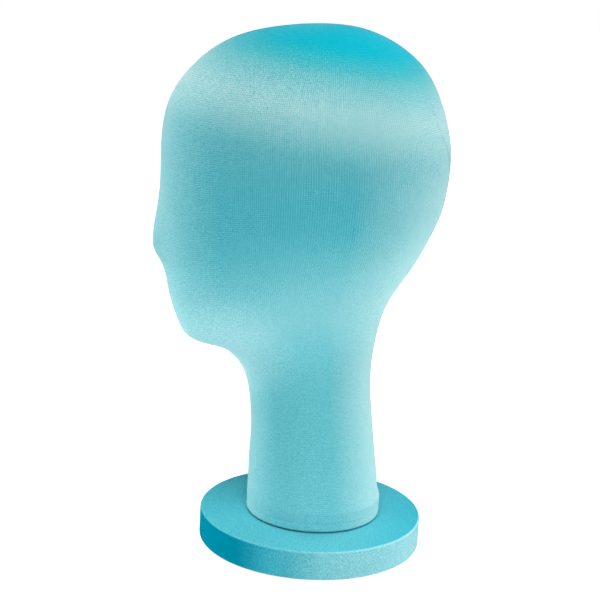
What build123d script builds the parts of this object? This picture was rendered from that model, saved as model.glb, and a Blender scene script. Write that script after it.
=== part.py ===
from build123d import *
import os
from math import cos, exp, hypot, pi, sin

# Display head on a round base board, both covered in stretch jersey. Millimetres.
# +Z is up and z = 0 is the underside of the base pad. The face looks along -X, and the head is
# symmetric about the plane y = 0. The head turns about the Z axis on the bolt through the base.

# ---- driving sizes ---------------------------------------------------------------------------
# cloth
cover_thickness = 0.8
layer_clearance = 0.2  # left between the cloth and what it is drawn over

# shaping
cut_margin = 1.0  # how far a cut runs on past the face it opens

# base
base_board_radius = 77.0
base_board_thickness = 19.0
base_board_edge_radius = 0.6
base_turn_under = 22.0  # width of the cover's edge under the board
base_pad_stand = 0.5  # how far the pad holds the cover off the table
base_pad_inset = 4.0  # how far the pad stays back from the covered rim
base_pad_hole_radius = 14.0
counterbore_radius = 13.0
counterbore_depth = 9.0
cloth_hole_radius = 5.5  # punched in the cloth for the bolt

# neck foot
neck_foot_radius = 46.8
neck_foot_offset = 1.5  # how far the foot's middle lies behind the bolt
neck_foot_edge_radius = 2.2
neck_gap = 1.0  # shadow gap between the base and the head's cover
neck_board_thickness = 12.0
neck_turn_under = 15.0  # width of the cover's edge under the neck board
glide_margin = 2.3  # between the glide washer and the cover's edge

# beech dowel up the neck
dowel_radius = 14.0
dowel_length = 120.0
dowel_chamfer = 1.5
glue_clearance = 0.1
bolt_end_room = 6.0
dowel_bore_margin = 2.0  # round the bolt

# M8 fastening
bolt_radius = 4.0
bolt_length = 35.0
bolt_chamfer = 0.8
bolt_head_across_flats = 13.0
bolt_head_height = 5.3
bolt_facing_share = 0.6  # how far the head's corners are faced off
shaft_clearance = 0.1
thread_clearance = 0.05
flat_washer_radius = 12.0
flat_washer_thickness = 1.6
spring_washer_radius = 7.4
spring_washer_thickness = 2.0
spring_washer_split = 1.5
spring_washer_split_slant = 25.0
tee_nut_flange_radius = 11.0
tee_nut_flange_thickness = 1.5
tee_nut_barrel_radius = 5.0
tee_nut_barrel_length = 10.0
tee_nut_prong_count = 4
tee_nut_prong_length = 7.0
tee_nut_prong_width = 3.0
tee_nut_prong_thickness = 1.2

# staples
staple_crown = 9.0
staple_wire = 0.6
staple_leg = 6.0
base_staple_count = 16
neck_staple_count = 10

# head form
head_height = 340.3  # crown above the neck foot
head_length = 194.7  # forehead to back, without the nose
head_breadth = 153.8
section_arcs = 12
front_crowding = 0.35  # draws the section's arcs together towards the nose
nose_height = 7.5
nose_half_width = 14.0
nose_above_foot = 187.4
nose_fall_below = 13.0
nose_fall_above = 28.0

# Sections of the head from neck to crown. Each lies in the plane through a point of the front
# outline, a point of the back outline and the Y direction:
# (front x, front height, back x, back height, half breadth, egg), heights above the neck foot.
# egg is how far the section is broader behind its middle than before it.
HEAD_SECTIONS = (
    (-45.2, 18.5, 46.4, 19.0, 45.9, 0.00),  # flare above the foot
    (-45.1, 24.4, 45.6, 24.9, 45.2, 0.00),  # foot of the neck
    (-45.2, 34.4, 44.0, 35.9, 43.9, 0.00),  # lower neck
    (-44.9, 46.9, 41.9, 50.4, 43.0, 0.00),  # below the middle of the neck
    (-45.0, 62.4, 39.6, 68.4, 42.2, 0.00),  # middle of the neck
    (-47.5, 86.4, 36.5, 98.4, 41.2, 0.00),  # slimmest part of the neck
    (-53.5, 103.9, 37.5, 120.4, 41.6, 0.02),  # throat and nape
    (-60.0, 112.1, 38.8, 130.2, 42.7, 0.03),  # bend of the throat
    (-69.0, 117.9, 40.5, 139.4, 44.5, 0.05),  # under the jaw
    (-80.1, 120.4, 43.1, 148.8, 46.9, 0.07),  # underside of the chin
    (-90.0, 122.9, 47.0, 158.4, 50.0, 0.09),  # chin
    (-96.5, 129.4, 52.7, 168.6, 53.7, 0.11),  # front of the chin
    (-100.5, 138.4, 59.0, 178.9, 57.5, 0.12),  # lower lip
    (-104.2, 148.8, 64.8, 189.8, 61.5, 0.13),  # mouth
    (-107.0, 160.4, 69.5, 199.9, 65.0, 0.13),  # upper lip
    (-109.0, 176.4, 74.0, 210.9, 68.6, 0.13),  # under the nose
    (-110.5, 190.4, 77.5, 221.4, 71.5, 0.12),  # tip of the nose
    (-111.8, 205.9, 79.4, 232.9, 74.0, 0.11),  # bridge of the nose
    (-113.0, 223.4, 80.5, 245.4, 76.0, 0.10),  # brow
    (-113.8, 241.1, 80.7, 256.7, 76.9, 0.09),  # above the brow
    (-114.0, 258.4, 79.5, 268.4, 76.5, 0.08),  # forehead
    (-112.5, 275.6, 75.7, 283.5, 73.9, 0.07),  # top of the forehead
    (-107.5, 291.4, 70.0, 298.4, 69.0, 0.05),  # hat line
    (-96.5, 307.8, 62.2, 311.8, 61.1, 0.03),  # above the hat line
    (-82.0, 321.4, 51.5, 322.9, 51.0, 0.02),  # shoulder of the crown
    (-66.4, 330.3, 36.8, 332.4, 39.5, 0.01),  # above the shoulder
    (-50.5, 335.4, 19.5, 338.9, 27.0, 0.00),  # crown
    (-32.5, 339.1, -1.5, 340.0, 12.5, 0.00),  # top of the crown
    (-23.5, 340.0, -9.5, 340.3, 5.5, 0.00),  # flat closing disc at the very top
)

# ---- heights and radii that follow -----------------------------------------------------------
base_cover_bottom = base_pad_stand
board_bottom = base_cover_bottom + cover_thickness
board_top = board_bottom + base_board_thickness
base_top = board_top + cover_thickness
base_radius = base_board_radius + cover_thickness
base_turn_radius = base_radius - base_turn_under

foot_z = base_top + neck_gap
neck_board_bottom = foot_z + cover_thickness
neck_board_top = neck_board_bottom + neck_board_thickness
core_inset = cover_thickness + layer_clearance
head_tall = head_height / HEAD_SECTIONS[-1][3]
head_long = head_length / (max(s[2] for s in HEAD_SECTIONS) - min(s[0] for s in HEAD_SECTIONS))
head_broad = head_breadth / (2 * max(s[4] for s in HEAD_SECTIONS))
neck_board_radius = neck_foot_radius - core_inset
neck_turn_radius = neck_foot_radius - neck_turn_under
glide_radius = neck_turn_radius - neck_foot_offset - glide_margin

counterbore_top = board_bottom + counterbore_depth
flat_washer_bottom = counterbore_top - flat_washer_thickness
bolt_seat = flat_washer_bottom - spring_washer_thickness
bolt_top = bolt_seat + bolt_length
bolt_bore_radius = bolt_radius + shaft_clearance


def disc(radius, bottom, top):
    """A round solid on the Z axis."""
    return Pos(0, 0, bottom) * Cylinder(radius, top - bottom, align=(Align.CENTER, Align.CENTER, Align.MIN))


def turned(points):
    """A solid of revolution from an outline of (radius, z) points."""
    outline = Polyline(*[(r, 0, z) for r, z in points], close=True)
    return revolve(make_face(outline), axis=Axis.Z)


def edges_at(shape, z, least_radius):
    """The round edges at one height whose radius is at least the one given."""
    return [
        e
        for e in shape.edges()
        if abs(e.bounding_box().min.Z - z) < 1e-3
        and abs(e.bounding_box().max.Z - z) < 1e-3
        and e.bounding_box().max.X > least_radius
    ]


# ---- the head's form -------------------------------------------------------------------------
def head_stations():
    """The round top of the foot and all sections above it: (front, back, half breadth, egg)."""
    front, back = neck_foot_offset - neck_foot_radius, neck_foot_offset + neck_foot_radius
    stations = [((front, neck_board_top), (back, neck_board_top), neck_foot_radius, 0.0)]
    for front_x, front_z, back_x, back_z, half_breadth, egg in HEAD_SECTIONS:
        front = front_x * head_long, foot_z + front_z * head_tall
        back = back_x * head_long, foot_z + back_z * head_tall
        stations.append((front, back, half_breadth * head_broad, egg))
    return stations


def inward(before, after, side):
    """The unit normal of an outline between two of its points, pointing into the head."""
    dx, dz = after[0] - before[0], after[1] - before[1]
    length = hypot(dx, dz)
    return side * dz / length, -side * dx / length


def section_wire(front, back, half_breadth, egg):
    """One section: an egg-shaped oval of arcs between its front and back points, with the nose."""
    mx, mz = (front[0] + back[0]) / 2, (front[1] + back[1]) / 2
    ax, az = (back[0] - front[0]) / 2, (back[1] - front[1]) / 2
    half_depth = hypot(ax, az)
    away = front[1] - (foot_z + nose_above_foot * head_tall)
    fall = nose_fall_below if away < 0 else nose_fall_above
    nose = nose_height * exp(-((away / fall) ** 2))
    points = []
    for i in range(2 * section_arcs):
        turn = pi * i / section_arcs
        angle = turn + front_crowding * sin(turn)
        y = half_breadth * sin(angle) * (1 + egg * cos(angle))
        reach = half_depth * cos(angle)
        if cos(angle) < 0:
            reach += nose * cos(angle) * exp(-((y / nose_half_width) ** 2))
        points.append(Vector(mx + ax / half_depth * reach, y, mz + az / half_depth * reach))
    points.append(points[0])
    return Wire([Edge.make_three_point_arc(*points[i : i + 3]) for i in range(0, 2 * section_arcs, 2)])


def head_form(inset):
    """The head and neck above the neck board as one solid, drawn in by inset all over."""
    stations = head_stations()
    wires = []
    for i, (front, back, half_breadth, egg) in enumerate(stations):
        below, above = stations[max(i - 1, 0)], stations[min(i + 1, len(stations) - 1)]
        front_in, back_in = inward(below[0], above[0], 1), inward(below[1], above[1], -1)
        if i == 0:
            front_in, back_in = (1.0, 0.0), (-1.0, 0.0)
        level = (abs(front_in[0]) + abs(back_in[0])) / 2
        wires.append(
            section_wire(
                (front[0] + inset * front_in[0], front[1] + inset * front_in[1]),
                (back[0] + inset * back_in[0], back[1] + inset * back_in[1]),
                half_breadth - inset * level,
                egg,
            )
        )
    return Solid.make_loft(wires)


# ---- head: parts -----------------------------------------------------------------------------
def make_head_cover():
    """Jersey cover: one skin over head and neck, drawn round the foot and under the neck board."""
    skin = head_form(0) - head_form(cover_thickness)
    foot = disc(neck_foot_radius, foot_z, neck_board_top)
    foot = fillet(edges_at(foot, foot_z, 1), neck_foot_edge_radius)
    room = disc(neck_foot_radius - cover_thickness, neck_board_bottom, neck_board_top + cut_margin)
    foot -= fillet(edges_at(room, neck_board_bottom, 1), neck_foot_edge_radius - cover_thickness)
    foot -= disc(neck_turn_radius, foot_z - cut_margin, neck_board_bottom + cut_margin)
    return skin + Pos(neck_foot_offset, 0, 0) * foot


def make_head_core():
    """Moulded rigid foam head and neck on the neck board, with the dowel's socket."""
    socket_top = neck_board_top + dowel_length + glue_clearance
    socket = disc(dowel_radius + glue_clearance, neck_board_top - cut_margin, socket_top)
    return head_form(core_inset) - socket


def make_neck_board():
    """Plywood disc with the tee nut's barrel hole and a recess for its flange."""
    board = disc(neck_board_radius, neck_board_bottom, neck_board_top)
    board = fillet(edges_at(board, neck_board_bottom, 1), neck_foot_edge_radius - core_inset)
    board = Pos(neck_foot_offset, 0, 0) * board
    hole = disc(tee_nut_barrel_radius, neck_board_bottom - cut_margin, neck_board_top + cut_margin)
    recess_bottom = neck_board_top - tee_nut_flange_thickness
    recess = disc(tee_nut_flange_radius + glue_clearance, recess_bottom, neck_board_top + cut_margin)
    return board - hole - recess


def make_neck_dowel():
    """Beech dowel on the neck board, bored for the bolt's end and chamfered at the top."""
    top = neck_board_top + dowel_length
    bore_radius = bolt_radius + dowel_bore_margin
    bore_top = max(bolt_top, neck_board_top) + bolt_end_room
    return turned(
        [
            (bore_radius, neck_board_top),
            (dowel_radius, neck_board_top),
            (dowel_radius, top - dowel_chamfer),
            (dowel_radius - dowel_chamfer, top),
            (0, top),
            (0, bore_top),
            (bore_radius, bore_top),
        ]
    )


def make_tee_nut():
    """Pronged tee nut: flange, threaded barrel and prongs driven into the plywood."""
    flange_bottom = neck_board_top - tee_nut_flange_thickness
    nut = disc(tee_nut_flange_radius, flange_bottom, neck_board_top)
    nut += disc(tee_nut_barrel_radius, neck_board_top - tee_nut_barrel_length, neck_board_top)
    prong_outline = Polyline(
        (-tee_nut_prong_width / 2, 0),
        (tee_nut_prong_width / 2, 0),
        (0, -tee_nut_prong_length),
        close=True,
    )
    prong = extrude(make_face(Plane.YZ * prong_outline), tee_nut_prong_thickness, both=False)
    prong_x = tee_nut_flange_radius - tee_nut_prong_thickness
    for i in range(tee_nut_prong_count):
        turn = 360 / tee_nut_prong_count * i
        nut += Rot(0, 0, turn) * Pos(prong_x, 0, flange_bottom) * prong
    return nut - disc(bolt_radius + thread_clearance, 0, neck_board_top + cut_margin)


def staple(crown_bottom):
    """One staple, crown along Y, driven upwards from crown_bottom."""
    up = (Align.CENTER, Align.CENTER, Align.MIN)
    crown = Box(staple_wire, staple_crown, staple_wire, align=up)
    leg = Box(staple_wire, staple_wire, staple_wire + staple_leg, align=up)
    leg_y = (staple_crown - staple_wire) / 2
    return Pos(0, 0, crown_bottom) * (crown + Pos(0, leg_y, 0) * leg + Pos(0, -leg_y, 0) * leg)


def staple_ring(count, radius, crown_bottom):
    """Staples spaced evenly round a ring, their crowns along it."""
    one = staple(crown_bottom)
    turns = [360 / count * (i + 0.5) for i in range(count)]
    return Compound(children=[Rot(0, 0, turn) * Pos(radius, 0, 0) * one for turn in turns])


def make_neck_staples():
    radius = (neck_turn_radius + neck_board_radius) / 2
    return Pos(neck_foot_offset, 0, 0) * staple_ring(neck_staple_count, radius, foot_z)


# ---- fastening -------------------------------------------------------------------------------
def make_clamp_bolt():
    """M8 hexagon bolt, head down in the counterbore, up into the tee nut."""
    flats = RegularPolygon(bolt_head_across_flats / 2, 6, major_radius=False)
    head = extrude(Pos(0, 0, bolt_seat - bolt_head_height) * flats, bolt_head_height)
    corner = bolt_head_across_flats / 2 / cos(pi / 6)
    drop = (corner - bolt_head_across_flats / 2) * bolt_facing_share
    facing = turned(
        [
            (0, bolt_seat - bolt_head_height),
            (bolt_head_across_flats / 2, bolt_seat - bolt_head_height),
            (corner, bolt_seat - bolt_head_height + drop),
            (corner, bolt_seat),
            (0, bolt_seat),
        ]
    )
    shank = disc(bolt_radius, bolt_seat, bolt_top)
    shank = chamfer(edges_at(shank, bolt_top, bolt_radius / 2), bolt_chamfer)
    return (head & facing) + shank


def make_spring_washer():
    """Split spring washer, pressed flat."""
    ring = disc(spring_washer_radius, bolt_seat, flat_washer_bottom)
    ring -= disc(bolt_bore_radius, bolt_seat - cut_margin, flat_washer_bottom + cut_margin)
    reach = spring_washer_radius + cut_margin
    outwards = (Align.MIN, Align.CENTER, Align.CENTER)
    slot = Box(reach, spring_washer_split, 4 * spring_washer_thickness, align=outwards)
    middle = (bolt_seat + flat_washer_bottom) / 2
    return ring - Pos(0, 0, middle) * Rot(spring_washer_split_slant, 0, 0) * slot


def make_flat_washer():
    """Wide flat washer against the top of the counterbore."""
    washer = disc(flat_washer_radius, flat_washer_bottom, counterbore_top)
    return washer - disc(bolt_bore_radius, flat_washer_bottom - cut_margin, counterbore_top + cut_margin)


def make_glide_washer():
    """Slip disc between base and neck board. It sets the shadow gap under the neck."""
    glide = disc(glide_radius, base_top, neck_board_bottom)
    return glide - disc(bolt_bore_radius, base_top - cut_margin, neck_board_bottom + cut_margin)


# ---- base: parts -----------------------------------------------------------------------------
def make_base_board():
    """Fibreboard disc, bored for the bolt and counterbored from below."""
    board = disc(base_board_radius, board_bottom, board_top)
    rims = edges_at(board, board_bottom, 1) + edges_at(board, board_top, 1)
    board = fillet(rims, base_board_edge_radius)
    board -= disc(bolt_bore_radius, board_bottom - cut_margin, board_top + cut_margin)
    return board - disc(counterbore_radius, board_bottom - cut_margin, counterbore_top)


def make_base_cover():
    """Jersey over the board's top and rim, with its edge turned under."""
    skin = disc(base_radius, base_cover_bottom, base_top)
    rims = edges_at(skin, base_cover_bottom, 1) + edges_at(skin, base_top, 1)
    skin = fillet(rims, base_board_edge_radius + cover_thickness)
    inside = disc(base_board_radius, board_bottom, board_top)
    inner_rims = edges_at(inside, board_bottom, 1) + edges_at(inside, board_top, 1)
    skin -= fillet(inner_rims, base_board_edge_radius)
    skin -= disc(base_turn_radius, base_cover_bottom - cut_margin, board_bottom + cut_margin)
    return skin - disc(cloth_hole_radius, board_top - cut_margin, base_top + cut_margin)


def make_base_staples():
    radius = (base_turn_radius + base_board_radius) / 2
    return staple_ring(base_staple_count, radius, base_cover_bottom)


def make_base_pad():
    """Thin foam disc glued underneath: thicker inside the turned-under cloth, holed for the bolt."""
    outer = base_radius - base_pad_inset
    inner = base_turn_radius - layer_clearance
    return turned(
        [
            (base_pad_hole_radius, 0),
            (outer, 0),
            (outer, base_cover_bottom),
            (inner, base_cover_bottom),
            (inner, board_bottom),
            (base_pad_hole_radius, board_bottom),
        ]
    )


NODES = {
    "base_pad": make_base_pad,
    "base_staples": make_base_staples,
    "base_cover": make_base_cover,
    "base_board": make_base_board,
    "flat_washer": make_flat_washer,
    "spring_washer": make_spring_washer,
    "clamp_bolt": make_clamp_bolt,
    "glide_washer": make_glide_washer,
    "neck_board": make_neck_board,
    "tee_nut": make_tee_nut,
    "neck_dowel": make_neck_dowel,
    "neck_staples": make_neck_staples,
    "head_core": make_head_core,
    "head_cover": make_head_cover,
}

for name, make in NODES.items():
    export_step(make(), f"parts/{name}.step")
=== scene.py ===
import math

import bpy
import numpy as np
from mathutils import Matrix, Vector


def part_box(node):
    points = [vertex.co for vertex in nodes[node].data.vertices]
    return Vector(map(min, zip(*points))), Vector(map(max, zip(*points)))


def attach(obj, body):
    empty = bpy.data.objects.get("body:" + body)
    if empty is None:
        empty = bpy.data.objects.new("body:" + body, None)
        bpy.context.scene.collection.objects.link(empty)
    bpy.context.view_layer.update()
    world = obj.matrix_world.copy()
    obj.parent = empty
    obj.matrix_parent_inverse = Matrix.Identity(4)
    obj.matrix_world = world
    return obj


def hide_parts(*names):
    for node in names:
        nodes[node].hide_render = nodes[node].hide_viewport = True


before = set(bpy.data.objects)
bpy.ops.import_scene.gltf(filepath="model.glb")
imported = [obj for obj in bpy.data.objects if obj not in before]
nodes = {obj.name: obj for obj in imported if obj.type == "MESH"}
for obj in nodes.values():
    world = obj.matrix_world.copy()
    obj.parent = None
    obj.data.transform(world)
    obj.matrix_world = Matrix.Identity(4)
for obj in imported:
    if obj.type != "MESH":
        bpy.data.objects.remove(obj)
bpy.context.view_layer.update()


# ---- base pad --------------------------------------------------------------------------------
# A disc of closed-cell EVA foam, cut from sheet and glued under the base. It is thicker inside
# the turned-under cloth, and has a hole for the spanner. Its cut rims are a little rounded.
MM = 0.001


def linear(hex_colour):
    """An sRGB hex colour as the linear red, green, blue and alpha that Blender's sockets take."""
    srgb = np.array([int(hex_colour[i : i + 2], 16) for i in (1, 3, 5)]) / 255
    rgb = np.where(srgb <= 0.04045, srgb / 12.92, ((srgb + 0.055) / 1.055) ** 2.4)
    return (*rgb.tolist(), 1.0)


def add(tree, kind, inputs=None, **settings):
    """Adds one node. Settings are its properties, and inputs are socket values or links."""
    made = tree.nodes.new(kind)
    for name, value in settings.items():
        setattr(made, name, value)
    for socket, value in (inputs or {}).items():
        if isinstance(value, bpy.types.NodeSocket):
            tree.links.new(value, made.inputs[socket])
        else:
            made.inputs[socket].default_value = value
    return made


def new_material(name):
    """An empty node material and its output, ready for a shader."""
    material = bpy.data.materials.new(name)
    material.use_nodes = True
    material.node_tree.nodes.clear()
    return material, material.node_tree, add(material.node_tree, "ShaderNodeOutputMaterial")


def surface_mesh(name, grid, uv=None, wrap_rows=False, poles=False):
    """A mesh over a grid of points, rows by columns, with one face between each four neighbours.
    Columns always close into rings, and rows do if wrap_rows is set. With poles, the first and
    last rows shrink to one point each. The UV is the share of the columns and of the rows."""
    rows, columns = grid.shape[:2]
    points = grid.reshape(-1, 3)
    if poles:
        points = np.vstack([grid[:1, 0], grid[1:-1].reshape(-1, 3), grid[-1:, 0]])
    index = np.arange(rows * columns).reshape(rows, columns)
    if poles:
        index = np.full((rows, columns), 0)
        index[1:-1] = 1 + np.arange((rows - 2) * columns).reshape(rows - 2, columns)
        index[-1] = len(points) - 1
    below = index if wrap_rows else index[:-1]
    above = np.roll(index, -1, axis=0) if wrap_rows else index[1:]
    beside_below, beside_above = np.roll(below, -1, axis=1), np.roll(above, -1, axis=1)
    quads = np.stack([below, beside_below, beside_above, above], axis=-1)
    column = np.broadcast_to(np.arange(columns), below.shape)
    row = np.broadcast_to(np.arange(len(below))[:, None], below.shape)
    corner_uv = np.stack(
        [
            np.stack([column, column + 1, column + 1, column], -1) / columns,
            np.stack([row, row, row + 1, row + 1], -1) / max(rows - 1, 1),
        ],
        axis=-1,
    )
    faces, loops_uv = [], []
    body = slice(1, -1) if poles else slice(None)
    faces += quads[body].reshape(-1, 4).tolist()
    loops_uv.append(corner_uv[body].reshape(-1, 2))
    if poles:
        faces += quads[0][:, [0, 2, 3]].tolist()
        loops_uv.append(corner_uv[0][:, [0, 2, 3]].reshape(-1, 2))
        faces += quads[-1][:, [0, 1, 2]].tolist()
        loops_uv.append(corner_uv[-1][:, [0, 1, 2]].reshape(-1, 2))
    mesh = bpy.data.meshes.new(name)
    mesh.from_pydata(points.tolist(), [], faces)
    layer = mesh.uv_layers.new(name="weave")
    coordinates = np.vstack(loops_uv)
    if uv is not None:
        coordinates = uv(coordinates)
    layer.data.foreach_set("uv", coordinates.astype(np.float32).ravel())
    mesh.polygons.foreach_set("use_smooth", np.ones(len(mesh.polygons), dtype=bool))
    mesh.validate()
    piece = bpy.data.objects.new(name, mesh)
    bpy.context.scene.collection.objects.link(piece)
    return piece


def turned_grid(path, columns):
    """A grid of points from a path of (radius, height), turned about the Z axis: x and y are the
    radius times the cosine and sine of the turn."""
    turn = 2 * np.pi * np.arange(columns) / columns
    radius, height = path[:, :1], path[:, 1:]
    ring = np.broadcast_arrays(radius * np.cos(turn), radius * np.sin(turn), height)
    return np.stack(ring, axis=-1)


def corner_arc(centre, radius, start, end, count):
    """Points (radius, height) on an arc, from one angle to the other in degrees: the centre plus
    the radius times the angle's cosine and sine."""
    angle = np.radians(np.linspace(start, end, count))
    return np.stack([centre[0] + radius * np.cos(angle), centre[1] + radius * np.sin(angle)], 1)


pad_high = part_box("base_pad")[1]
cloth_low, cloth_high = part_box("base_cover")
PAD_RADIUS = pad_high[0]
PAD_HOLE = 14.0 * MM
PAD_EDGE = 0.2 * MM
BASE_TURN_UNDER = 22.0 * MM
PAD_TO_CLOTH = 0.2 * MM
PAD_STEP = cloth_high[0] - BASE_TURN_UNDER - PAD_TO_CLOTH
cloth_bottom = cloth_low[2]

pad_path = np.vstack(
    [
        corner_arc((PAD_HOLE + PAD_EDGE, PAD_EDGE), PAD_EDGE, 180, 270, 4),
        np.linspace((PAD_HOLE + 2 * MM, 0), (PAD_RADIUS - 2 * MM, 0), 12),
        corner_arc((PAD_RADIUS - PAD_EDGE, PAD_EDGE), PAD_EDGE, 270, 360, 4),
        corner_arc((PAD_RADIUS - PAD_EDGE, cloth_bottom - PAD_EDGE), PAD_EDGE, 0, 90, 4),
        [(PAD_STEP, cloth_bottom), (PAD_STEP, pad_high[2]), (PAD_HOLE, pad_high[2])],
    ]
)
foam_pad = surface_mesh("foam_pad", turned_grid(pad_path, 96), wrap_rows=True)

# EVA foam, skived from a block: matt near-black, with the cut cells as small dark pits.
PAD_PORE = 0.9 * MM
PORE_DEPTH = 0.1 * MM
eva_foam, tree, out = new_material("eva_foam")
place = add(tree, "ShaderNodeTexCoord").outputs["Object"]
pores = add(tree, "ShaderNodeTexVoronoi", {"Vector": place, "Scale": 1 / PAD_PORE})
pit_colour = add(tree, "ShaderNodeValToRGB", {"Fac": pores.outputs["Distance"]})
pit_colour.color_ramp.elements[0].color = linear("#141517")
pit_colour.color_ramp.elements[1].color = linear("#2b2c2f")
pit_depth = add(
    tree,
    "ShaderNodeBump",
    {"Height": pores.outputs["Distance"], "Strength": 0.4, "Distance": PORE_DEPTH},
)
shader = add(
    tree,
    "ShaderNodeBsdfPrincipled",
    {
        "Base Color": pit_colour.outputs["Color"],
        "Roughness": 0.85,
        "Normal": pit_depth.outputs["Normal"],
    },
)
tree.links.new(shader.outputs["BSDF"], out.inputs["Surface"])
foam_pad.data.materials.append(eva_foam)
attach(foam_pad, "base")
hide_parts("base_pad")


def dress(node, material):
    """Gives a carried-over part its material in every slot."""
    mesh = nodes[node].data
    mesh.materials.clear()
    mesh.materials.append(material)


# Medium-density fibreboard, bored with a drill: dull brown with short darker and paler fibres.
FIBRE_LENGTH = 1.6 * MM
fibreboard, tree, out = new_material("fibreboard")
place = add(tree, "ShaderNodeTexCoord").outputs["Object"]
fibres = add(
    tree,
    "ShaderNodeTexNoise",
    {"Vector": place, "Scale": 1 / FIBRE_LENGTH, "Detail": 6.0, "Roughness": 0.7},
)
fibre_colour = add(tree, "ShaderNodeValToRGB", {"Fac": fibres.outputs["Fac"]})
fibre_colour.color_ramp.elements[0].position = 0.35
fibre_colour.color_ramp.elements[0].color = linear("#7d5c3d")
fibre_colour.color_ramp.elements[1].position = 0.65
fibre_colour.color_ramp.elements[1].color = linear("#b08c63")
torn_fibres = add(
    tree, "ShaderNodeBump", {"Height": fibres.outputs["Fac"], "Strength": 0.3, "Distance": 0.1 * MM}
)
shader = add(
    tree,
    "ShaderNodeBsdfPrincipled",
    {
        "Base Color": fibre_colour.outputs["Color"],
        "Roughness": 0.8,
        "Normal": torn_fibres.outputs["Normal"],
    },
)
tree.links.new(shader.outputs["BSDF"], out.inputs["Surface"])
dress("base_board", fibreboard)


# ---- base cover ------------------------------------------------------------------------------
# Stretch jersey drawn over the board's top and rim and turned under it. The top is pulled flat,
# the rim shows as one thin painted highlight, and the edge below is stapled and hidden by the pad.
CLOTH_THICKNESS = 0.8 * MM
RIM_RADIUS = 1.4 * MM
BOLT_HOLE_IN_CLOTH = 5.5 * MM
# The outlines' straight runs start this far from the arcs beside them.
RUN_GAP = 0.5 * MM
base_radius, base_top = cloth_high[0], cloth_high[2]


def shell_path(side, top, bottom, rim):
    """The cover's outline as (radius, height) points: a straight run out over the top, an arc over
    the rim, a straight run down the side, an arc under it and a straight run back in."""
    last = side - rim - RUN_GAP
    return np.vstack(
        [
            np.linspace((BOLT_HOLE_IN_CLOTH, top), (last, top), 48),
            corner_arc((side - rim, top - rim), rim, 90, 0, 9),
            np.linspace((side, top - rim - RUN_GAP), (side, bottom + rim + RUN_GAP), 18),
            corner_arc((side - rim, bottom + rim), rim, 0, -90, 7),
            np.linspace((last, bottom), (base_radius - BASE_TURN_UNDER, bottom), 12),
        ]
    )


outside = shell_path(base_radius, base_top, cloth_bottom, RIM_RADIUS)
inside = shell_path(
    base_radius - CLOTH_THICKNESS,
    base_top - CLOTH_THICKNESS,
    cloth_bottom + CLOTH_THICKNESS,
    RIM_RADIUS - CLOTH_THICKNESS,
)
base_path = np.vstack([outside, inside[::-1]])[::-1]
base_jersey = surface_mesh("base_jersey", turned_grid(base_path, 288), wrap_rows=True)


# Warp-knitted stretch jersey with a short brushed face: dyed aqua, satiny along its wales, paler
# where the brushed pile is seen from the side. On the base's rim, one side is painted deeper as shade
# and the other paler as light and sheen.
# The pile lies in tufts about 0.4 mm across. Their tips are bleached, and red is what the dye
# takes out, so from hollow to tip red changes most. The cloth's height is PILE_SHARE x the pile's
# noise plus the loops' height, whose middle is LOOP_MIDDLE. The tint runs to its ends PILE_SPREAD
# above and below the middle of the two together.
PILE = 0.4 * MM
PILE_SHARE = 7.0
PILE_SPREAD = 0.7
LOOP_MIDDLE = 0.35
TUFT_CONTRAST = (1.0, 0.32, 0.26)
TUFT_DEPTH = 0.1 * MM


def knit(tree, along, across, pitch):
    """The height of a knitted face: wales side by side, each a column of small V-shaped loops. It
    is 1.4 x the distance from the wale's edge, plus 0.4 x the sine of the course number, which
    grows by 1.2 x that distance, so the loops slant both ways from the edge."""
    wale = add(tree, "ShaderNodeMath", {0: across, 1: 1 / pitch}, operation="MULTIPLY")
    column = add(tree, "ShaderNodeMath", {0: wale.outputs[0], 1: 0.5}, operation="PINGPONG")
    slant = add(tree, "ShaderNodeMath", {0: column.outputs[0], 1: 1.2}, operation="MULTIPLY")
    course = add(
        tree, "ShaderNodeMath", {0: along, 1: 1 / pitch, 2: slant.outputs[0]}, operation="MULTIPLY_ADD"
    )
    turn = add(tree, "ShaderNodeMath", {0: course.outputs[0], 1: 2 * math.pi}, operation="MULTIPLY")
    wave = add(tree, "ShaderNodeMath", {0: turn.outputs[0]}, operation="SINE")
    ridge = add(tree, "ShaderNodeMath", {0: column.outputs[0], 1: 1.4}, operation="MULTIPLY")
    height = {0: wave.outputs[0], 1: 0.4, 2: ridge.outputs[0]}
    return add(tree, "ShaderNodeMath", height, operation="MULTIPLY_ADD").outputs[0]


def shades(tree, position, stops):
    """A colour ramp through the given stops, each a position and a hex colour."""
    ramp = add(tree, "ShaderNodeValToRGB", {"Fac": position})
    ramp.color_ramp.interpolation = "CARDINAL"
    ramp.color_ramp.elements.remove(ramp.color_ramp.elements[1])
    ramp.color_ramp.elements[0].position = stops[0][0]
    ramp.color_ramp.elements[0].color = linear(stops[0][1])
    for at, code in stops[1:]:
        ramp.color_ramp.elements.new(at).color = linear(code)
    return ramp.outputs["Color"]


def grained(tree, colour, height, share=1.0):
    """The colour times 1 + share x TUFT_CONTRAST x the height of loops and pile, from -1 to 1."""
    middle = 0.5 * PILE_SHARE + LOOP_MIDDLE
    low, high = middle - PILE_SPREAD, middle + PILE_SPREAD
    level = add(
        tree,
        "ShaderNodeMapRange",
        {"Value": height, "From Min": low, "From Max": high, "To Min": -1.0},
    ).outputs[0]
    tint = add(
        tree,
        "ShaderNodeVectorMath",
        {0: level, 1: TUFT_CONTRAST, 2: (1, 1, 1)},
        operation="MULTIPLY_ADD",
    ).outputs["Vector"]
    return add(
        tree,
        "ShaderNodeMix",
        {"Factor": share, "A": colour, "B": tint},
        data_type="RGBA",
        blend_type="MULTIPLY",
    ).outputs["Result"]


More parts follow.
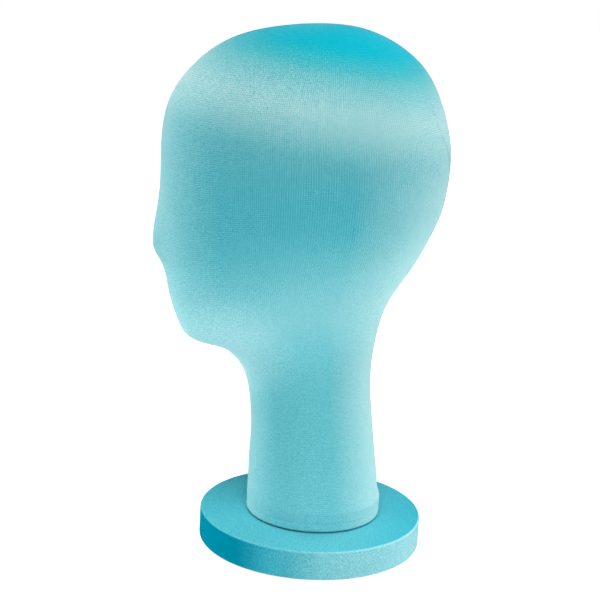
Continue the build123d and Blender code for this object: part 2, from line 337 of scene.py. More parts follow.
# The real wales are about 0.4 mm apart. They are drawn at a little over twice that, so that they
# show. Where the cloth faces up or down by more than FLAT_FROM, they run along Y, and elsewhere
# they run up the rim.
BASE_WALE = 0.9 * MM
FLAT_FROM = 0.7
base_cloth, tree, out = new_material("base_stretch_jersey")
place = add(tree, "ShaderNodeTexCoord").outputs["Object"]
parts = add(tree, "ShaderNodeSeparateXYZ", {"Vector": place})
east, north, up = parts.outputs["X"], parts.outputs["Y"], parts.outputs["Z"]
side_turn = add(tree, "ShaderNodeMath", {0: north, 1: east}, operation="ARCTAN2").outputs[0]
around = add(
    tree, "ShaderNodeMath", {0: side_turn, 1: float(base_radius)}, operation="MULTIPLY"
).outputs[0]
facing = add(tree, "ShaderNodeNewGeometry").outputs["Normal"]
facing_up = add(tree, "ShaderNodeSeparateXYZ", {"Vector": facing}).outputs["Z"]
flatness = add(tree, "ShaderNodeMath", {0: facing_up}, operation="ABSOLUTE").outputs[0]
is_top = add(tree, "ShaderNodeMath", {0: flatness, 1: FLAT_FROM}, operation="GREATER_THAN").outputs[0]
across = add(
    tree, "ShaderNodeMix", {"Factor": is_top, "A": around, "B": east}, data_type="FLOAT"
).outputs[0]
along = add(
    tree, "ShaderNodeMix", {"Factor": is_top, "A": up, "B": north}, data_type="FLOAT"
).outputs[0]


def brushed(tree, place, loops):
    """The height of the cloth, which is PILE_SHARE x a noise as fine as the tufts plus the loops'
    height, and the normal of a surface with that height."""
    tufts = add(
        tree,
        "ShaderNodeTexNoise",
        {"Vector": place, "Scale": 1 / PILE, "Detail": 2.0, "Roughness": 0.7},
    ).outputs["Fac"]
    height = add(
        tree, "ShaderNodeMath", {0: tufts, 1: PILE_SHARE, 2: loops}, operation="MULTIPLY_ADD"
    ).outputs[0]
    relief = add(tree, "ShaderNodeBump", {"Height": height, "Strength": 0.45, "Distance": TUFT_DEPTH})
    return height, relief.outputs["Normal"]


height, relief = brushed(tree, place, knit(tree, along, across, BASE_WALE))
# Across X, shade is painted on the rim's -X side, and light and sheen on its +X side.
# On the top, a deeper painted shade runs towards +X for the neck's shadow.
painted_lit_side = add(
    tree,
    "ShaderNodeMapRange",
    {"Value": east, "From Min": float(-base_radius), "From Max": float(base_radius)},
).outputs[0]
RIM_COLOUR_AND_PAINTED_LIGHT = (
    (0.0, "#00859e"),
    (0.2, "#0a88a0"),
    (0.31, "#39a5b8"),
    (0.44, "#56b0be"),
    (0.56, "#78c1cb"),
    (0.89, "#8dcad2"),
    (1.0, "#98cad1"),
)
TOP_COLOUR_AND_PAINTED_SHADE = ((0.0, "#58bfcd"), (0.5, "#5ec0cd"), (0.7, "#62c9d7"), (1.0, "#4bc5da"))
rim_colour = shades(tree, painted_lit_side, RIM_COLOUR_AND_PAINTED_LIGHT)
top_colour = shades(tree, painted_lit_side, TOP_COLOUR_AND_PAINTED_SHADE)
cloth_colour = add(
    tree, "ShaderNodeMix", {"Factor": is_top, "A": rim_colour, "B": top_colour}, data_type="RGBA"
).outputs["Result"]
# Where the cloth turns over the board's edge, a pale line is painted on as a highlight, strongest
# towards the lit +X side. There it faces up by EDGE_FACING, give or take EDGE_SPREAD.
EDGE_FACING, EDGE_SPREAD = 0.55, 0.35
turned_over = add(
    tree, "ShaderNodeMath", {0: flatness, 1: EDGE_FACING, 2: EDGE_SPREAD}, operation="COMPARE"
).outputs[0]
edge_on = add(tree, "ShaderNodeMath", {0: turned_over, 1: painted_lit_side}, operation="MULTIPLY").outputs[0]
painted_edge_highlight_share = add(tree, "ShaderNodeMapRange", {"Value": edge_on, "To Max": 0.4}).outputs[0]
edged = add(
    tree,
    "ShaderNodeMix",
    {"Factor": painted_edge_highlight_share, "A": cloth_colour, "B": linear("#b4eef5")},
    data_type="RGBA",
).outputs["Result"]
# On the top the cloth lies flat and tight, and its pile shows less than on the rim.
tuft_share = add(
    tree, "ShaderNodeMapRange", {"Value": is_top, "To Min": 1.0, "To Max": 0.75}
).outputs[0]
shader = add(
    tree,
    "ShaderNodeBsdfPrincipled",
    {
        "Base Color": grained(tree, edged, height, tuft_share),
        "Roughness": 0.5,
        "Specular IOR Level": 0.0,
        "Normal": relief,
    },
)
tree.links.new(shader.outputs["BSDF"], out.inputs["Surface"])
base_jersey.data.materials.append(base_cloth)
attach(base_jersey, "base")
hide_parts("base_cover")


# ---- staples ---------------------------------------------------------------------------------
# Staples of flattened wire, driven by a gun through the turned-under cloth into the two boards,
# side by side all the way round. The pad hides the base's, and the base hides the neck's.

# Galvanised wire, drawn and cut: bright cool grey, with streaks about a millimetre long.
STREAKS_PER_METRE = 900.0
staple_wire, tree, out = new_material("galvanised_wire")
place = add(tree, "ShaderNodeTexCoord").outputs["Object"]
streaks = add(
    tree, "ShaderNodeTexNoise", {"Vector": place, "Scale": STREAKS_PER_METRE, "Detail": 2.0}
)
wire_rough = add(
    tree, "ShaderNodeMapRange", {"Value": streaks.outputs["Fac"], "To Min": 0.2, "To Max": 0.5}
)
shader = add(
    tree,
    "ShaderNodeBsdfPrincipled",
    {"Base Color": linear("#c3c7ca"), "Metallic": 1.0, "Roughness": wire_rough.outputs["Result"]},
)
tree.links.new(shader.outputs["BSDF"], out.inputs["Surface"])
dress("base_staples", staple_wire)
dress("neck_staples", staple_wire)


# ---- clamp bolt, washers and tee nut ---------------------------------------------------------
# An M8 bolt with a spring washer and a wide flat washer, into a pronged tee nut. The spring
# washer sets how stiffly the head turns.

# Zinc-plated steel, barrel plated: pale grey with a faint yellow and blue bloom, in patches about
# 7 mm across.
BLOOMS_PER_METRE = 140.0
zinc_steel, tree, out = new_material("zinc_plated_steel")
place = add(tree, "ShaderNodeTexCoord").outputs["Object"]
bloom = add(tree, "ShaderNodeTexNoise", {"Vector": place, "Scale": BLOOMS_PER_METRE, "Detail": 3.0})
bloom_colour = add(tree, "ShaderNodeValToRGB", {"Fac": bloom.outputs["Fac"]})
bloom_colour.color_ramp.elements[0].position = 0.3
bloom_colour.color_ramp.elements[0].color = linear("#b9bfc6")
bloom_colour.color_ramp.elements[1].position = 0.7
bloom_colour.color_ramp.elements[1].color = linear("#cfcabb")
plate_rough = add(
    tree, "ShaderNodeMapRange", {"Value": bloom.outputs["Fac"], "To Min": 0.25, "To Max": 0.45}
)
shader = add(
    tree,
    "ShaderNodeBsdfPrincipled",
    {
        "Base Color": bloom_colour.outputs["Color"],
        "Metallic": 1.0,
        "Roughness": plate_rough.outputs["Result"],
    },
)
tree.links.new(shader.outputs["BSDF"], out.inputs["Surface"])
for plated in ("clamp_bolt", "flat_washer", "spring_washer", "tee_nut"):
    dress(plated, zinc_steel)


# ---- glide washer ----------------------------------------------------------------------------
# A turned nylon disc between base and neck board. It lets the head turn and leaves the thin
# shadow gap under the neck.

# Nylon, turned from rod: near-black, satin, with faint concentric tool marks 1.6 mm apart. A wave
# texture of scale 1 has 20 waves in each 2 pi metres.
TOOL_MARK_SCALE = 200.0
glide_nylon, tree, out = new_material("black_nylon")
place = add(tree, "ShaderNodeTexCoord").outputs["Object"]
marks = add(
    tree,
    "ShaderNodeTexWave",
    {"Vector": place, "Scale": TOOL_MARK_SCALE},
    wave_type="RINGS",
    rings_direction="Z",
)
mark_depth = add(
    tree, "ShaderNodeBump", {"Height": marks.outputs["Fac"], "Strength": 0.1, "Distance": 0.02 * MM}
)
shader = add(
    tree,
    "ShaderNodeBsdfPrincipled",
    {"Base Color": linear("#1a1d1f"), "Roughness": 0.45, "Normal": mark_depth.outputs["Normal"]},
)
tree.links.new(shader.outputs["BSDF"], out.inputs["Surface"])
dress("glide_washer", glide_nylon)


# ---- neck board ------------------------------------------------------------------------------
# A disc of birch plywood that closes the neck's foot and holds the tee nut, whose prongs bite
# into its top. The head's cover is stapled to its underside.

# Birch plywood, sanded: pale veneers 1.4 mm thick with darker glue lines, and long fine grain,
# counted to a metre along X, Y and Z.
VENEER = 1.4 * MM
GRAIN_PER_METRE = (40.0, 600.0, 600.0)
plywood, tree, out = new_material("birch_plywood")
place = add(tree, "ShaderNodeTexCoord").outputs["Object"]
stretched = add(tree, "ShaderNodeMapping", {"Vector": place, "Scale": GRAIN_PER_METRE}).outputs[0]
grain = add(tree, "ShaderNodeTexNoise", {"Vector": stretched, "Scale": 1.0, "Detail": 4.0})
# One wave is two veneers.
layers = add(
    tree,
    "ShaderNodeTexWave",
    {"Vector": place, "Scale": 2 * math.pi / (20 * 2 * VENEER)},
    bands_direction="Z",
)
veneer_colour = add(tree, "ShaderNodeValToRGB", {"Fac": grain.outputs["Fac"]})
veneer_colour.color_ramp.elements[0].color = linear("#b58f60")
veneer_colour.color_ramp.elements[1].color = linear("#e2c596")
ply_colour = add(
    tree,
    "ShaderNodeMix",
    {"Factor": layers.outputs["Fac"], "A": linear("#8f6b45"), "B": veneer_colour.outputs["Color"]},
    data_type="RGBA",
).outputs["Result"]
shader = add(tree, "ShaderNodeBsdfPrincipled", {"Base Color": ply_colour, "Roughness": 0.6})
tree.links.new(shader.outputs["BSDF"], out.inputs["Surface"])
dress("neck_board", plywood)


# ---- neck dowel ------------------------------------------------------------------------------
# A beech dowel, glued on the neck board and up into the foam to stiffen the neck, and bored from
# below for the bolt's end.

# Beech, planed: warm pinkish tan with short dark flecks along the grain, counted to a metre along
# X, Y and Z.
FLECKS_PER_METRE = (900.0, 900.0, 120.0)
beech, tree, out = new_material("beech")
place = add(tree, "ShaderNodeTexCoord").outputs["Object"]
stretched = add(tree, "ShaderNodeMapping", {"Vector": place, "Scale": FLECKS_PER_METRE}).outputs[0]
flecks = add(tree, "ShaderNodeTexNoise", {"Vector": stretched, "Scale": 1.0, "Detail": 3.0})
beech_colour = add(tree, "ShaderNodeValToRGB", {"Fac": flecks.outputs["Fac"]})
beech_colour.color_ramp.elements[0].position = 0.3
beech_colour.color_ramp.elements[0].color = linear("#a87a52")
beech_colour.color_ramp.elements[1].color = linear("#d6ad81")
shader = add(
    tree, "ShaderNodeBsdfPrincipled", {"Base Color": beech_colour.outputs["Color"], "Roughness": 0.5}
)
tree.links.new(shader.outputs["BSDF"], out.inputs["Surface"])
dress("neck_dowel", beech)


# ---- head core -------------------------------------------------------------------------------
# The head and neck, moulded in one piece of rigid polyurethane foam with the dowel's socket in
# its foot. The cover hides all of it.

# Rigid polyurethane foam with its moulded skin: cream, matt, with fine open pores.
FOAM_PORE = 0.8 * MM
core_foam, tree, out = new_material("rigid_polyurethane_foam")
place = add(tree, "ShaderNodeTexCoord").outputs["Object"]
pores = add(tree, "ShaderNodeTexVoronoi", {"Vector": place, "Scale": 1 / FOAM_PORE})
pore_colour = add(tree, "ShaderNodeValToRGB", {"Fac": pores.outputs["Distance"]})
pore_colour.color_ramp.elements[0].color = linear("#cdbf98")
pore_colour.color_ramp.elements[1].color = linear("#efe6c8")
pore_depth = add(
    tree,
    "ShaderNodeBump",
    {"Height": pores.outputs["Distance"], "Strength": 0.4, "Distance": PORE_DEPTH},
)
shader = add(
    tree,
    "ShaderNodeBsdfPrincipled",
    {
        "Base Color": pore_colour.outputs["Color"],
        "Roughness": 0.85,
        "Normal": pore_depth.outputs["Normal"],
    },
)
tree.links.new(shader.outputs["BSDF"], out.inputs["Surface"])
dress("head_core", core_foam)


# ---- head cover ------------------------------------------------------------------------------
# One sock of stretch jersey, seamed up the centre back, pulled over the foam and drawn tight
# under the neck board. It bridges every hollow, so the face is only a soft profile.
NECK_FOOT_RADIUS = 46.8 * MM
NECK_FOOT_OFFSET = 1.5 * MM
FOOT_EDGE = 1.4 * MM
NECK_TURN_UNDER = 15.0 * MM
NOSE_HEIGHT = 7.5 * MM
NOSE_HALF_WIDTH = 14.0 * MM
NOSE_ABOVE_FOOT = 187.4 * MM
NOSE_FALL_BELOW = 13.0 * MM
NOSE_FALL_ABOVE = 28.0 * MM
CROWN = (-17.0 * MM, 340.4 * MM)
# Columns stand closer together towards the nose, by this share.
FRONT_CROWDING = 0.3

# Sections from the neck to the crown, each between a point of the front outline and one of the
# back: (front x, front height, back x, back height, half breadth, egg). Heights are above the
# neck's foot. The egg is the share, in thousandths, by which the oval is broadened towards the
# back and narrowed towards the front.
HEAD_SECTIONS = MM * np.array(
    [
        (-45.2, 18.5, 46.4, 19.0, 45.9, 0),  # flare above the foot
        (-45.1, 24.4, 45.6, 24.9, 45.2, 0),  # foot of the neck
        (-45.2, 34.4, 44.0, 35.9, 43.9, 0),  # lower neck
        (-44.9, 46.9, 41.9, 50.4, 43.0, 0),  # below the middle of the neck
        (-45.0, 62.4, 39.6, 68.4, 42.2, 0),  # middle of the neck
        (-47.5, 86.4, 36.5, 98.4, 41.2, 0),  # slimmest part of the neck
        (-53.5, 103.9, 37.5, 120.4, 41.6, 20),  # throat and nape
        (-60.0, 112.1, 38.8, 130.2, 42.7, 30),  # bend of the throat
        (-69.0, 117.9, 40.5, 139.4, 44.5, 50),  # under the jaw
        (-80.1, 120.4, 43.1, 148.8, 46.9, 70),  # underside of the chin
        (-90.0, 122.9, 47.0, 158.4, 50.0, 90),  # chin
        (-96.5, 129.4, 52.7, 168.6, 53.7, 110),  # front of the chin
        (-100.5, 138.4, 59.0, 178.9, 57.5, 120),  # lower lip
        (-104.2, 148.8, 64.8, 189.8, 61.5, 130),  # mouth
        (-107.0, 160.4, 69.5, 199.9, 65.0, 130),  # upper lip
        (-109.0, 176.4, 74.0, 210.9, 68.6, 130),  # under the nose
        (-110.5, 190.4, 77.5, 221.4, 71.5, 120),  # tip of the nose
        (-111.8, 205.9, 79.4, 232.9, 74.0, 110),  # bridge of the nose
        (-113.0, 223.4, 80.5, 245.4, 76.0, 100),  # brow
        (-113.8, 241.1, 80.7, 256.7, 76.9, 90),  # above the brow
        (-114.0, 258.4, 79.5, 268.4, 76.5, 80),  # forehead
        (-112.5, 275.6, 75.7, 283.5, 73.9, 70),  # top of the forehead
        (-107.5, 291.4, 70.0, 298.4, 69.0, 50),  # hat line
        (-96.5, 307.8, 62.2, 311.8, 61.1, 30),  # above the hat line
        (-82.0, 321.4, 51.5, 322.9, 51.0, 20),  # shoulder of the crown
        (-66.4, 330.3, 36.8, 332.4, 39.5, 10),  # above the shoulder
        (-50.5, 335.4, 19.5, 338.9, 27.0, 0),  # crown
    ]
)
cover_low, cover_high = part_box("head_cover")
foot_z = cover_low[2]
foot_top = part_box("neck_board")[1][2]


def smooth_curve(knots, values, at):
    """A natural cubic spline: between two knots, a cubic through both values whose second slopes,
    or bends, meet those of its neighbours, and are nothing at the two ends."""
    gap = np.diff(knots)
    slope = np.diff(values, axis=0) / gap[:, None]
    inner = np.arange(1, len(knots) - 1)
    matrix, jump = np.eye(len(knots)), np.zeros_like(values)
    matrix[inner, inner - 1] = gap[:-1]
    matrix[inner, inner] = 2 * (gap[:-1] + gap[1:])
    matrix[inner, inner + 1] = gap[1:]
    jump[inner] = 6 * np.diff(slope, axis=0)
    bend = np.linalg.solve(matrix, jump)
    span = np.clip(np.searchsorted(knots, at) - 1, 0, len(knots) - 2)
    step, width = (at - knots[span])[:, None], gap[span, None]
    here, there = bend[span], bend[span + 1]
    rise = slope[span] - width * (2 * here + there) / 6
    return values[span] + step * rise + step**2 * here / 2 + step**3 * (there - here) / (6 * width)


def head_outlines(height, inset):
    """Front and back outlines, half breadth and egg at each height from 0, foot, to 1, crown.
    Front and back run as one spline over the crown, and the breadth changes sign there."""
    foot_front, foot_back = NECK_FOOT_OFFSET - NECK_FOOT_RADIUS, NECK_FOOT_OFFSET + NECK_FOOT_RADIUS
    foot_rise = foot_top - foot_z
    foot = (foot_front, foot_rise, foot_back, foot_rise, NECK_FOOT_RADIUS, 0)
    rows = np.vstack([foot, HEAD_SECTIONS])
    front = np.vstack([rows[:, 0:2], [CROWN]])
    back = np.vstack([rows[:, 2:4], [CROWN]])
    front_steps, back_steps = (np.linalg.norm(np.diff(rail, axis=0), axis=1) for rail in (front, back))
    steps = (front_steps + back_steps) / 2
    knots = np.concatenate([[0], np.cumsum(steps)]) / steps.sum()
    both = np.concatenate([knots, 2 - knots[-2::-1]])
    breadth = np.concatenate([rows[:, 4], [0], -rows[::-1, 4]])
    egg = np.concatenate([rows[:, 5], [0], rows[::-1, 5]])
    values = np.column_stack([np.vstack([front, back[-2::-1]]), breadth, egg])
    small = 1e-4
    ahead, ahead_next, behind, behind_next = (
        smooth_curve(both, values, at)
        for at in (height, height + small, 2 - height, 2 - height - small)
    )

    def inward(here, there, side):
        """A quarter turn from the run between two points, one long."""
        run = there[:, :2] - here[:, :2]
        run /= np.linalg.norm(run, axis=1)[:, None]
        return side * np.column_stack([run[:, 1], -run[:, 0]])

    front_in, back_in = inward(ahead, ahead_next, 1), inward(behind, behind_next, -1)
    level = (np.abs(front_in[:, 0]) + np.abs(back_in[:, 0])) / 2
    return (
        ahead[:, :2] + inset * front_in,
        behind[:, :2] + inset * back_in,
        ahead[:, 2] - inset * level * (ahead[:, 2] > inset),
        ahead[:, 3],
    )


def head_grid(height, columns, inset):
    """The head's surface. Each row is an egg-shaped oval in the plane through its front and back
    points; the nose is a bell-shaped rise on the front, steeper below than above."""
    front, back, breadth, egg = head_outlines(height, inset)
    turn = 2 * np.pi * np.arange(columns) / columns
    angle = turn + FRONT_CROWDING * np.sin(turn)
    middle, half = (front + back) / 2, (back - front) / 2
    depth = np.maximum(np.linalg.norm(half, axis=1), 1e-9)[:, None]
    y = breadth[:, None] * np.sin(angle) * (1 + egg[:, None] * np.cos(angle))
    away = front[:, 1:] - NOSE_ABOVE_FOOT
    fall = np.where(away < 0, NOSE_FALL_BELOW, NOSE_FALL_ABOVE)
    nose = NOSE_HEIGHT * np.exp(-((away / fall) ** 2)) * np.exp(-((y / NOSE_HALF_WIDTH) ** 2))
    reach = depth * np.cos(angle) + nose * np.minimum(np.cos(angle), 0)
    x = middle[:, :1] + half[:, :1] / depth * reach
    z = middle[:, 1:] + half[:, 1:] / depth * reach + foot_z
    return np.stack([x, y, z], axis=-1)


# The cloth's cut edge, folded under, shows through as a faint line round the foot.
CREASE_ABOVE_FOOT = 5.5 * MM
CREASE_WIDTH = 1.1 * MM
CREASE_DEPTH = 0.2 * MM


def foot_grid(radius, bottom, edge, columns, rows):
    """The round foot of the cover: under the board, round its edge and up to the foam. The crease
    is a bell-shaped dip in the radius."""
    inner, last = NECK_FOOT_RADIUS - NECK_TURN_UNDER, radius - edge - RUN_GAP
    path = np.vstack(
        [
            np.linspace((inner, bottom), (last, bottom), 8),
            corner_arc((radius - edge, bottom + edge), edge, -90, 0, 9),
            np.linspace((radius, bottom + edge + RUN_GAP), (radius, foot_top - RUN_GAP), rows),
        ]
    )
    crease = CREASE_DEPTH * np.exp(-(((path[:, 1] - foot_z - CREASE_ABOVE_FOOT) / CREASE_WIDTH) ** 2))
    path[:, 0] -= crease * (path[:, 0] > radius - 1 * MM)
    turn = 2 * np.pi * np.arange(columns) / columns
    angle = turn + FRONT_CROWDING * np.sin(turn)
    x = NECK_FOOT_OFFSET + path[:, :1] * np.cos(angle)
    return np.stack(np.broadcast_arrays(x, path[:, :1] * np.sin(angle), path[:, 1:]), axis=-1)


COLUMNS = 208
OUTER_ROWS, INNER_ROWS = 230, 46
outer_foot = foot_grid(NECK_FOOT_RADIUS, foot_z, FOOT_EDGE, COLUMNS, 22)
inner_foot = foot_grid(
    NECK_FOOT_RADIUS - CLOTH_THICKNESS,
    foot_z + CLOTH_THICKNESS,
    FOOT_EDGE - CLOTH_THICKNESS,
    COLUMNS,
    4,
)
outer_head = head_grid(np.linspace(0, 1, OUTER_ROWS), COLUMNS, 0.0)
inner_head = head_grid(np.linspace(0, 1, INNER_ROWS), COLUMNS, CLOTH_THICKNESS)
cover_grid = np.vstack([inner_head[::-1], inner_foot[::-1], outer_foot, outer_head])
cover_steps = np.linalg.norm(np.diff(cover_grid[:, COLUMNS // 4], axis=0), axis=1)
cover_length = np.concatenate([[0], np.cumsum(cover_steps)])


def jersey_uv(coordinates):
    """The share of the way round the head, and the metres along the wale."""
    row = coordinates[:, 1] * (len(cover_grid) - 1)
    metres = np.interp(row, np.arange(len(cover_grid)), cover_length)
    return np.column_stack([coordinates[:, 0], metres])


head_jersey = surface_mesh("head_jersey", cover_grid, uv=jersey_uv, poles=True)

# The same jersey, its wales running up the neck and over the head. Its colour by height is the
# dye with light and shade painted on: a painted highlight band above the hat line, painted light
# at the jaw, painted shade at the brow, and the deepest colour at the crown, where least light is
# painted. The real wales are about 0.4 mm apart; they are drawn at more than three times that, so that
# they show.
HEAD_WALES = 420
HEAD_COURSE = 1.4 * MM
HEAD_DYE_AND_PAINTED_LIGHT = (
    (0.0, "#69bec8"),
    (0.17, "#5fb4be"),
    (0.31, "#61b5bf"),  # throat
    (0.39, "#72c4ce"),
    (0.46, "#81cbd4"),  # jaw, painted light
    (0.54, "#70c0ca"),
    (0.63, "#4faab6"),
    (0.74, "#4da0ab"),  # brow
    (0.79, "#62a6ae"),
    (0.845, "#86b9bc"),  # above the hat line, painted highlight
    (0.88, "#86bbbf"),
    (0.93, "#5ab1b9"),
    (0.96, "#26afbf"),
    (1.0, "#00b9d0"),  # crown, deepest, with the least painted light
)
head_cloth, tree, out = new_material("head_stretch_jersey")
place = add(tree, "ShaderNodeTexCoord").outputs["Object"]
on_weave = add(tree, "ShaderNodeUVMap", uv_map="weave").outputs["UV"]
weave = add(tree, "ShaderNodeSeparateXYZ", {"Vector": on_weave})
across = add(
    tree, "ShaderNodeMath", {0: weave.outputs["X"], 1: HEAD_WALES * HEAD_COURSE}, operation="MULTIPLY"
).outputs[0]
height, relief = brushed(tree, place, knit(tree, weave.outputs["Y"], across, HEAD_COURSE))
spot = add(tree, "ShaderNodeSeparateXYZ", {"Vector": place})
# The painted light and shade lean: the shades climb towards the back below the brow, and fall a
# little towards it over the crown.
lean = add(
    tree,
    "ShaderNodeMapRange",
    {
        "Value": spot.outputs["Z"],
        "From Min": 210 * MM,
        "From Max": 290 * MM,
        "To Min": -0.29,
        "To Max": 0.12,
    },
).outputs[0]
leaning = add(
    tree,
    "ShaderNodeMath",
    {0: spot.outputs["X"], 1: lean, 2: spot.outputs["Z"]},
    operation="MULTIPLY_ADD",
).outputs[0]
rise = add(
    tree,
    "ShaderNodeMapRange",
    {"Value": leaning, "From Min": float(foot_z), "From Max": float(cover_high[2])},
).outputs[0]
dye_and_painted_light = shades(tree, rise, HEAD_DYE_AND_PAINTED_LIGHT)
# Down the middle of the back and of the front a paler colour is painted on as sheen, fading out
# towards the crown.
turn = add(
    tree, "ShaderNodeMath", {0: weave.outputs["X"], 1: 2 * math.pi}, operation="MULTIPLY"
).outputs[0]
backward = add(tree, "ShaderNodeMath", {0: turn}, operation="COSINE").outputs[0]
painted_sheen_back = add(
    tree, "ShaderNodeMapRange", {"Value": backward, "From Min": 0.56, "To Max": 0.38}
).outputs[0]
painted_sheen_front = add(
    tree,
    "ShaderNodeMapRange",
    {"Value": backward, "From Min": -0.3, "From Max": -1.0, "To Max": 0.19},
).outputs[0]
painted_sheen = add(tree, "ShaderNodeMath", {0: painted_sheen_back, 1: painted_sheen_front}, operation="ADD").outputs[0]
below_crown = add(
    tree,
    "ShaderNodeMapRange",
    {"Value": rise, "From Min": 0.68, "From Max": 0.9, "To Min": 1.0, "To Max": 0.0},
).outputs[0]
painted_sheen_share = add(tree, "ShaderNodeMath", {0: painted_sheen, 1: below_crown}, operation="MULTIPLY").outputs[0]
# Over the skull the cloth is stretched open, and its grain shows more than on the neck.
open_share = add(
    tree,
    "ShaderNodeMapRange",
    {"Value": rise, "From Min": 0.42, "From Max": 0.72, "To Min": 0.65, "To Max": 1.0},
).outputs[0]
# Over the crown the pile is stretched thin, and has hardly any sheen.
sheen = add(
    tree,
    "ShaderNodeMapRange",
    {"Value": rise, "From Min": 0.92, "From Max": 0.97, "To Min": 0.3, "To Max": 0.04},
).outputs[0]
# It bridges the hollow under the jaw too. Round this point of the side outline a paler colour is
# painted on, as light from below.
THROAT_MIDDLE = (-58 * MM, 0, 146 * MM)
on_outline = add(
    tree, "ShaderNodeVectorMath", {0: place, 1: (1, 0, 1)}, operation="MULTIPLY"
).outputs["Vector"]
hollow = add(
    tree, "ShaderNodeVectorMath", {0: on_outline, 1: THROAT_MIDDLE}, operation="DISTANCE"
).outputs["Value"]
painted_underlight_share = add(
    tree,
    "ShaderNodeMapRange",
    {"Value": hollow, "From Min": 5 * MM, "From Max": 48 * MM, "To Min": 0.5, "To Max": 0.0},
    interpolation_type="SMOOTHSTEP",
).outputs[0]
painted_sheen_colour = add(
    tree, "ShaderNodeMix", {"Factor": painted_sheen_share, "A": dye_and_painted_light, "B": linear("#d1e8e1")}, data_type="RGBA"
).outputs["Result"]
head_colour = add(
    tree,
    "ShaderNodeMix",
    {"Factor": painted_underlight_share, "A": painted_sheen_colour, "B": linear("#bdf0f5")},
    data_type="RGBA",
).outputs["Result"]
shader = add(
    tree,
    "ShaderNodeBsdfPrincipled",
    {
        "Base Color": grained(tree, head_colour, height, open_share),
        "Roughness": 0.5,
        "Specular IOR Level": 0.04,
        "Sheen Weight": sheen,
        "Sheen Roughness": 0.3,
        "Normal": relief,
    },
)
tree.links.new(shader.outputs["BSDF"], out.inputs["Surface"])
head_jersey.data.materials.append(head_cloth)
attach(head_jersey, "head")
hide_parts("head_cover")


# ---- centre back seam ------------------------------------------------------------------------
# The cover's overlocked seam, turned inside: from outside it is two low welts with the drawn
# stitch line between them, up the centre of the back.
SEAM_HALF_WIDTH = 1.4 * MM
SEAM_HEIGHT = 0.22 * MM
SEAM_POINTS = 24  # round one section of the seam
SEAM_FIRST_ROW = 12  # of the foot, where its edge starts to turn upright
SEAM_END = 0.93  # of the way from the foot to the crown
FADE_ROWS = 25  # over which the seam flattens out at its upper end
# The sock sits a little askew, so the seam strays to one side behind the crown: by this many
# degrees of turn at one height, and less above and below it, as a bell-shaped curve.
SEAM_STRAY = -18.0
STRAY_HEIGHT, STRAY_REACH = 314 * MM, 40 * MM
covered = np.vstack([outer_foot[SEAM_FIRST_ROW:], outer_head[1 : int(OUTER_ROWS * SEAM_END)]])
stray = SEAM_STRAY / 360 * np.exp(-(((covered[:, 0, 2] - STRAY_HEIGHT) / STRAY_REACH) ** 2))
column = (stray % 1.0) * COLUMNS
first = column.astype(int)
part = (column - first)[:, None]
every = np.arange(len(covered))
one, two = covered[every, first % COLUMNS], covered[every, (first + 1) % COLUMNS]
seam_line = one * (1 - part) + two * part
seam_side = (two - one) / np.linalg.norm(two - one, axis=1)[:, None]
seam_out = np.cross(seam_side, np.gradient(seam_line, axis=0))
seam_out /= np.linalg.norm(seam_out, axis=1)[:, None]
# A section is two humps on a foot: above the cloth the height is sin x (0.6 + 0.6 x |cos|) of the
# angle, and the flat foot lies half the seam's height below the cloth's face.
lobe = np.linspace(0, 2 * np.pi, SEAM_POINTS, endpoint=False)
humps = np.sin(lobe) * (0.6 + 0.6 * np.abs(np.cos(lobe)))
across_seam = SEAM_HALF_WIDTH * np.cos(lobe)
above_cloth = SEAM_HEIGHT * np.where(np.sin(lobe) > 0, humps, -0.5)
fade = np.clip(every[::-1] / FADE_ROWS, 0.02, 1)[:, None]
seam_grid = (
    seam_line[:, None]
    + (above_cloth * fade)[..., None] * seam_out[:, None]
    + (across_seam * (0.3 + 0.7 * fade))[..., None] * seam_side[:, None]
)
seam_ends = seam_grid[[0, -1]].mean(1, keepdims=True).repeat(SEAM_POINTS, 1)
seam_grid = np.vstack([seam_ends[:1], seam_grid, seam_ends[1:]])
back_seam = surface_mesh("back_seam", seam_grid[:, ::-1], poles=True)
back_seam.data.materials.append(head_cloth)
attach(back_seam, "head")


# ---- floor and backdrop ----------------------------------------------------------------------
# A plain white table that runs back out of sight. It keeps the soft shadow under the base, and
# lies a hair below the pad, so that the two don't share a plane.
TABLE_REACH = 3.0
TABLE_DROP = 0.2 * MM
floor_mesh = bpy.data.meshes.new("floor")
corners = TABLE_REACH * np.array([(-1, -1, 0), (1, -1, 0), (1, 1, 0), (-1, 1, 0)]) - (0, 0, TABLE_DROP)
floor_mesh.from_pydata(corners.tolist(), [], [(0, 1, 2, 3)])
floor = bpy.data.objects.new("floor", floor_mesh)
bpy.context.scene.collection.objects.link(floor)
# White laminate: matt, and lit from within for the camera and for reflections, so that it reads
# as white. The glow is weaker near the object, which leaves the contact shadow.
FLOOR_GLOW = 0.8


def seen_directly(tree):
    """1 for rays from the camera, and for those reflected or let through by a surface."""
    rays = add(tree, "ShaderNodeLightPath").outputs
    seen = rays["Is Camera Ray"]
    for kind in ("Is Glossy Ray", "Is Transmission Ray"):
        seen = add(tree, "ShaderNodeMath", {0: seen, 1: rays[kind]}, operation="MAXIMUM").outputs[0]
    return seen


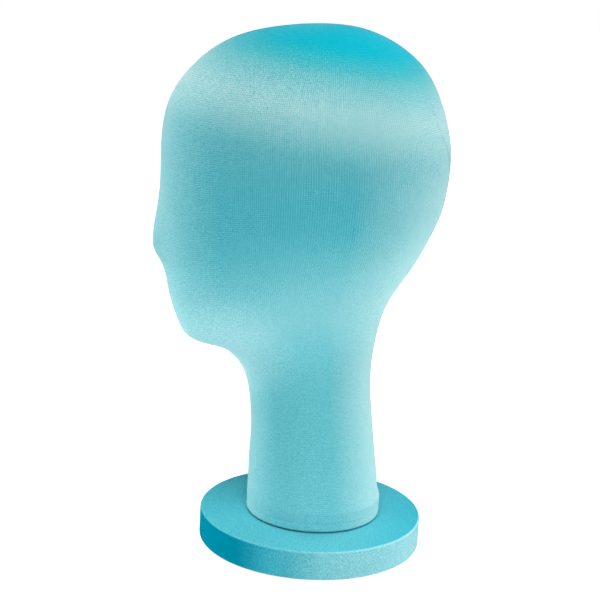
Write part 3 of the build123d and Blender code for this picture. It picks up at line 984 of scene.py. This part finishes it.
white_table, tree, out = new_material("white_laminate")
place = add(tree, "ShaderNodeTexCoord").outputs["Object"]
away = add(tree, "ShaderNodeVectorMath", {0: place}, operation="LENGTH").outputs["Value"]
glow_level = add(
    tree,
    "ShaderNodeMapRange",
    {"Value": away, "From Min": 0.1, "From Max": 0.6, "To Min": FLOOR_GLOW, "To Max": 1.0},
).outputs[0]
seen_level = add(
    tree, "ShaderNodeMath", {0: seen_directly(tree), 1: glow_level}, operation="MULTIPLY"
).outputs[0]
glow = add(tree, "ShaderNodeEmission", {"Color": (1, 1, 1, 1), "Strength": seen_level})
matt = add(tree, "ShaderNodeBsdfDiffuse", {"Color": linear("#e7e7e7")})
both = add(tree, "ShaderNodeAddShader", {0: glow.outputs[0], 1: matt.outputs[0]})
tree.links.new(both.outputs[0], out.inputs["Surface"])
floor_mesh.materials.append(white_table)

# The backdrop is plain white to look at, and gives the object only a little light.
AMBIENT = 0.05
world = bpy.data.worlds.new("studio")
bpy.context.scene.world = world
world.use_nodes = True
tree = world.node_tree
tree.nodes.clear()
out = add(tree, "ShaderNodeOutputWorld")
level = add(
    tree, "ShaderNodeMapRange", {"Value": seen_directly(tree), "To Min": AMBIENT, "To Max": 1.0}
).outputs[0]
sky = add(tree, "ShaderNodeBackground", {"Color": (1, 1, 1, 1), "Strength": level})
tree.links.new(sky.outputs[0], out.inputs["Surface"])


# ---- studio lamps ----------------------------------------------------------------------------
# Five square softboxes: one above the front, one behind each side for the rims, and one low at
# each side in front. Together they light the cloth at a plain level.
def softbox(name, place, size, power):
    """A square area lamp at a place in metres, turned to face the middle of the head."""
    lamp = bpy.data.lights.new(name, "AREA")
    lamp.size, lamp.energy = size, power
    box = bpy.data.objects.new(name, lamp)
    box.location = place
    box.rotation_euler = (HEAD_MIDDLE - Vector(place)).to_track_quat("-Z", "Y").to_euler()
    bpy.context.scene.collection.objects.link(box)


HEAD_MIDDLE = Vector((-0.015, 0.0, 0.22))
softbox("overhead_softbox", (0.0, -0.6, 1.25), 0.6, 12.4)
softbox("left_rim_softbox", (-1.1, 0.6, 0.4), 0.6, 9.7)
softbox("right_rim_softbox", (1.1, 0.6, 0.4), 0.6, 6.5)
softbox("left_low_softbox", (-0.8, -0.45, 0.06), 0.5, 6.4)
softbox("right_low_softbox", (0.8, -0.45, 0.06), 0.5, 8.0)


# ---- camera ----------------------------------------------------------------------------------
# A short telephoto lens 1.2 m away, a little above the crown and looking down at the head's
# left side. It is rolled a few degrees, so the object leans a little in the frame.
CAMERA_PLACE = (-15.2 * MM, -1192.3 * MM, 506.7 * MM)
CAMERA_PITCH = math.radians(15.6)
CAMERA_ROLL = math.radians(3.15)
camera_data = bpy.data.cameras.new("camera")
camera_data.lens, camera_data.sensor_width = 108.0, 36.0
camera = bpy.data.objects.new("camera", camera_data)
tilt = Matrix.Rotation(math.radians(90) - CAMERA_PITCH, 4, "X")
roll = Matrix.Rotation(CAMERA_ROLL, 4, "Z")
camera.matrix_world = Matrix.Translation(CAMERA_PLACE) @ tilt @ roll
bpy.context.scene.collection.objects.link(camera)
bpy.context.scene.camera = camera
bpy.context.scene.view_settings.view_transform = "Standard"
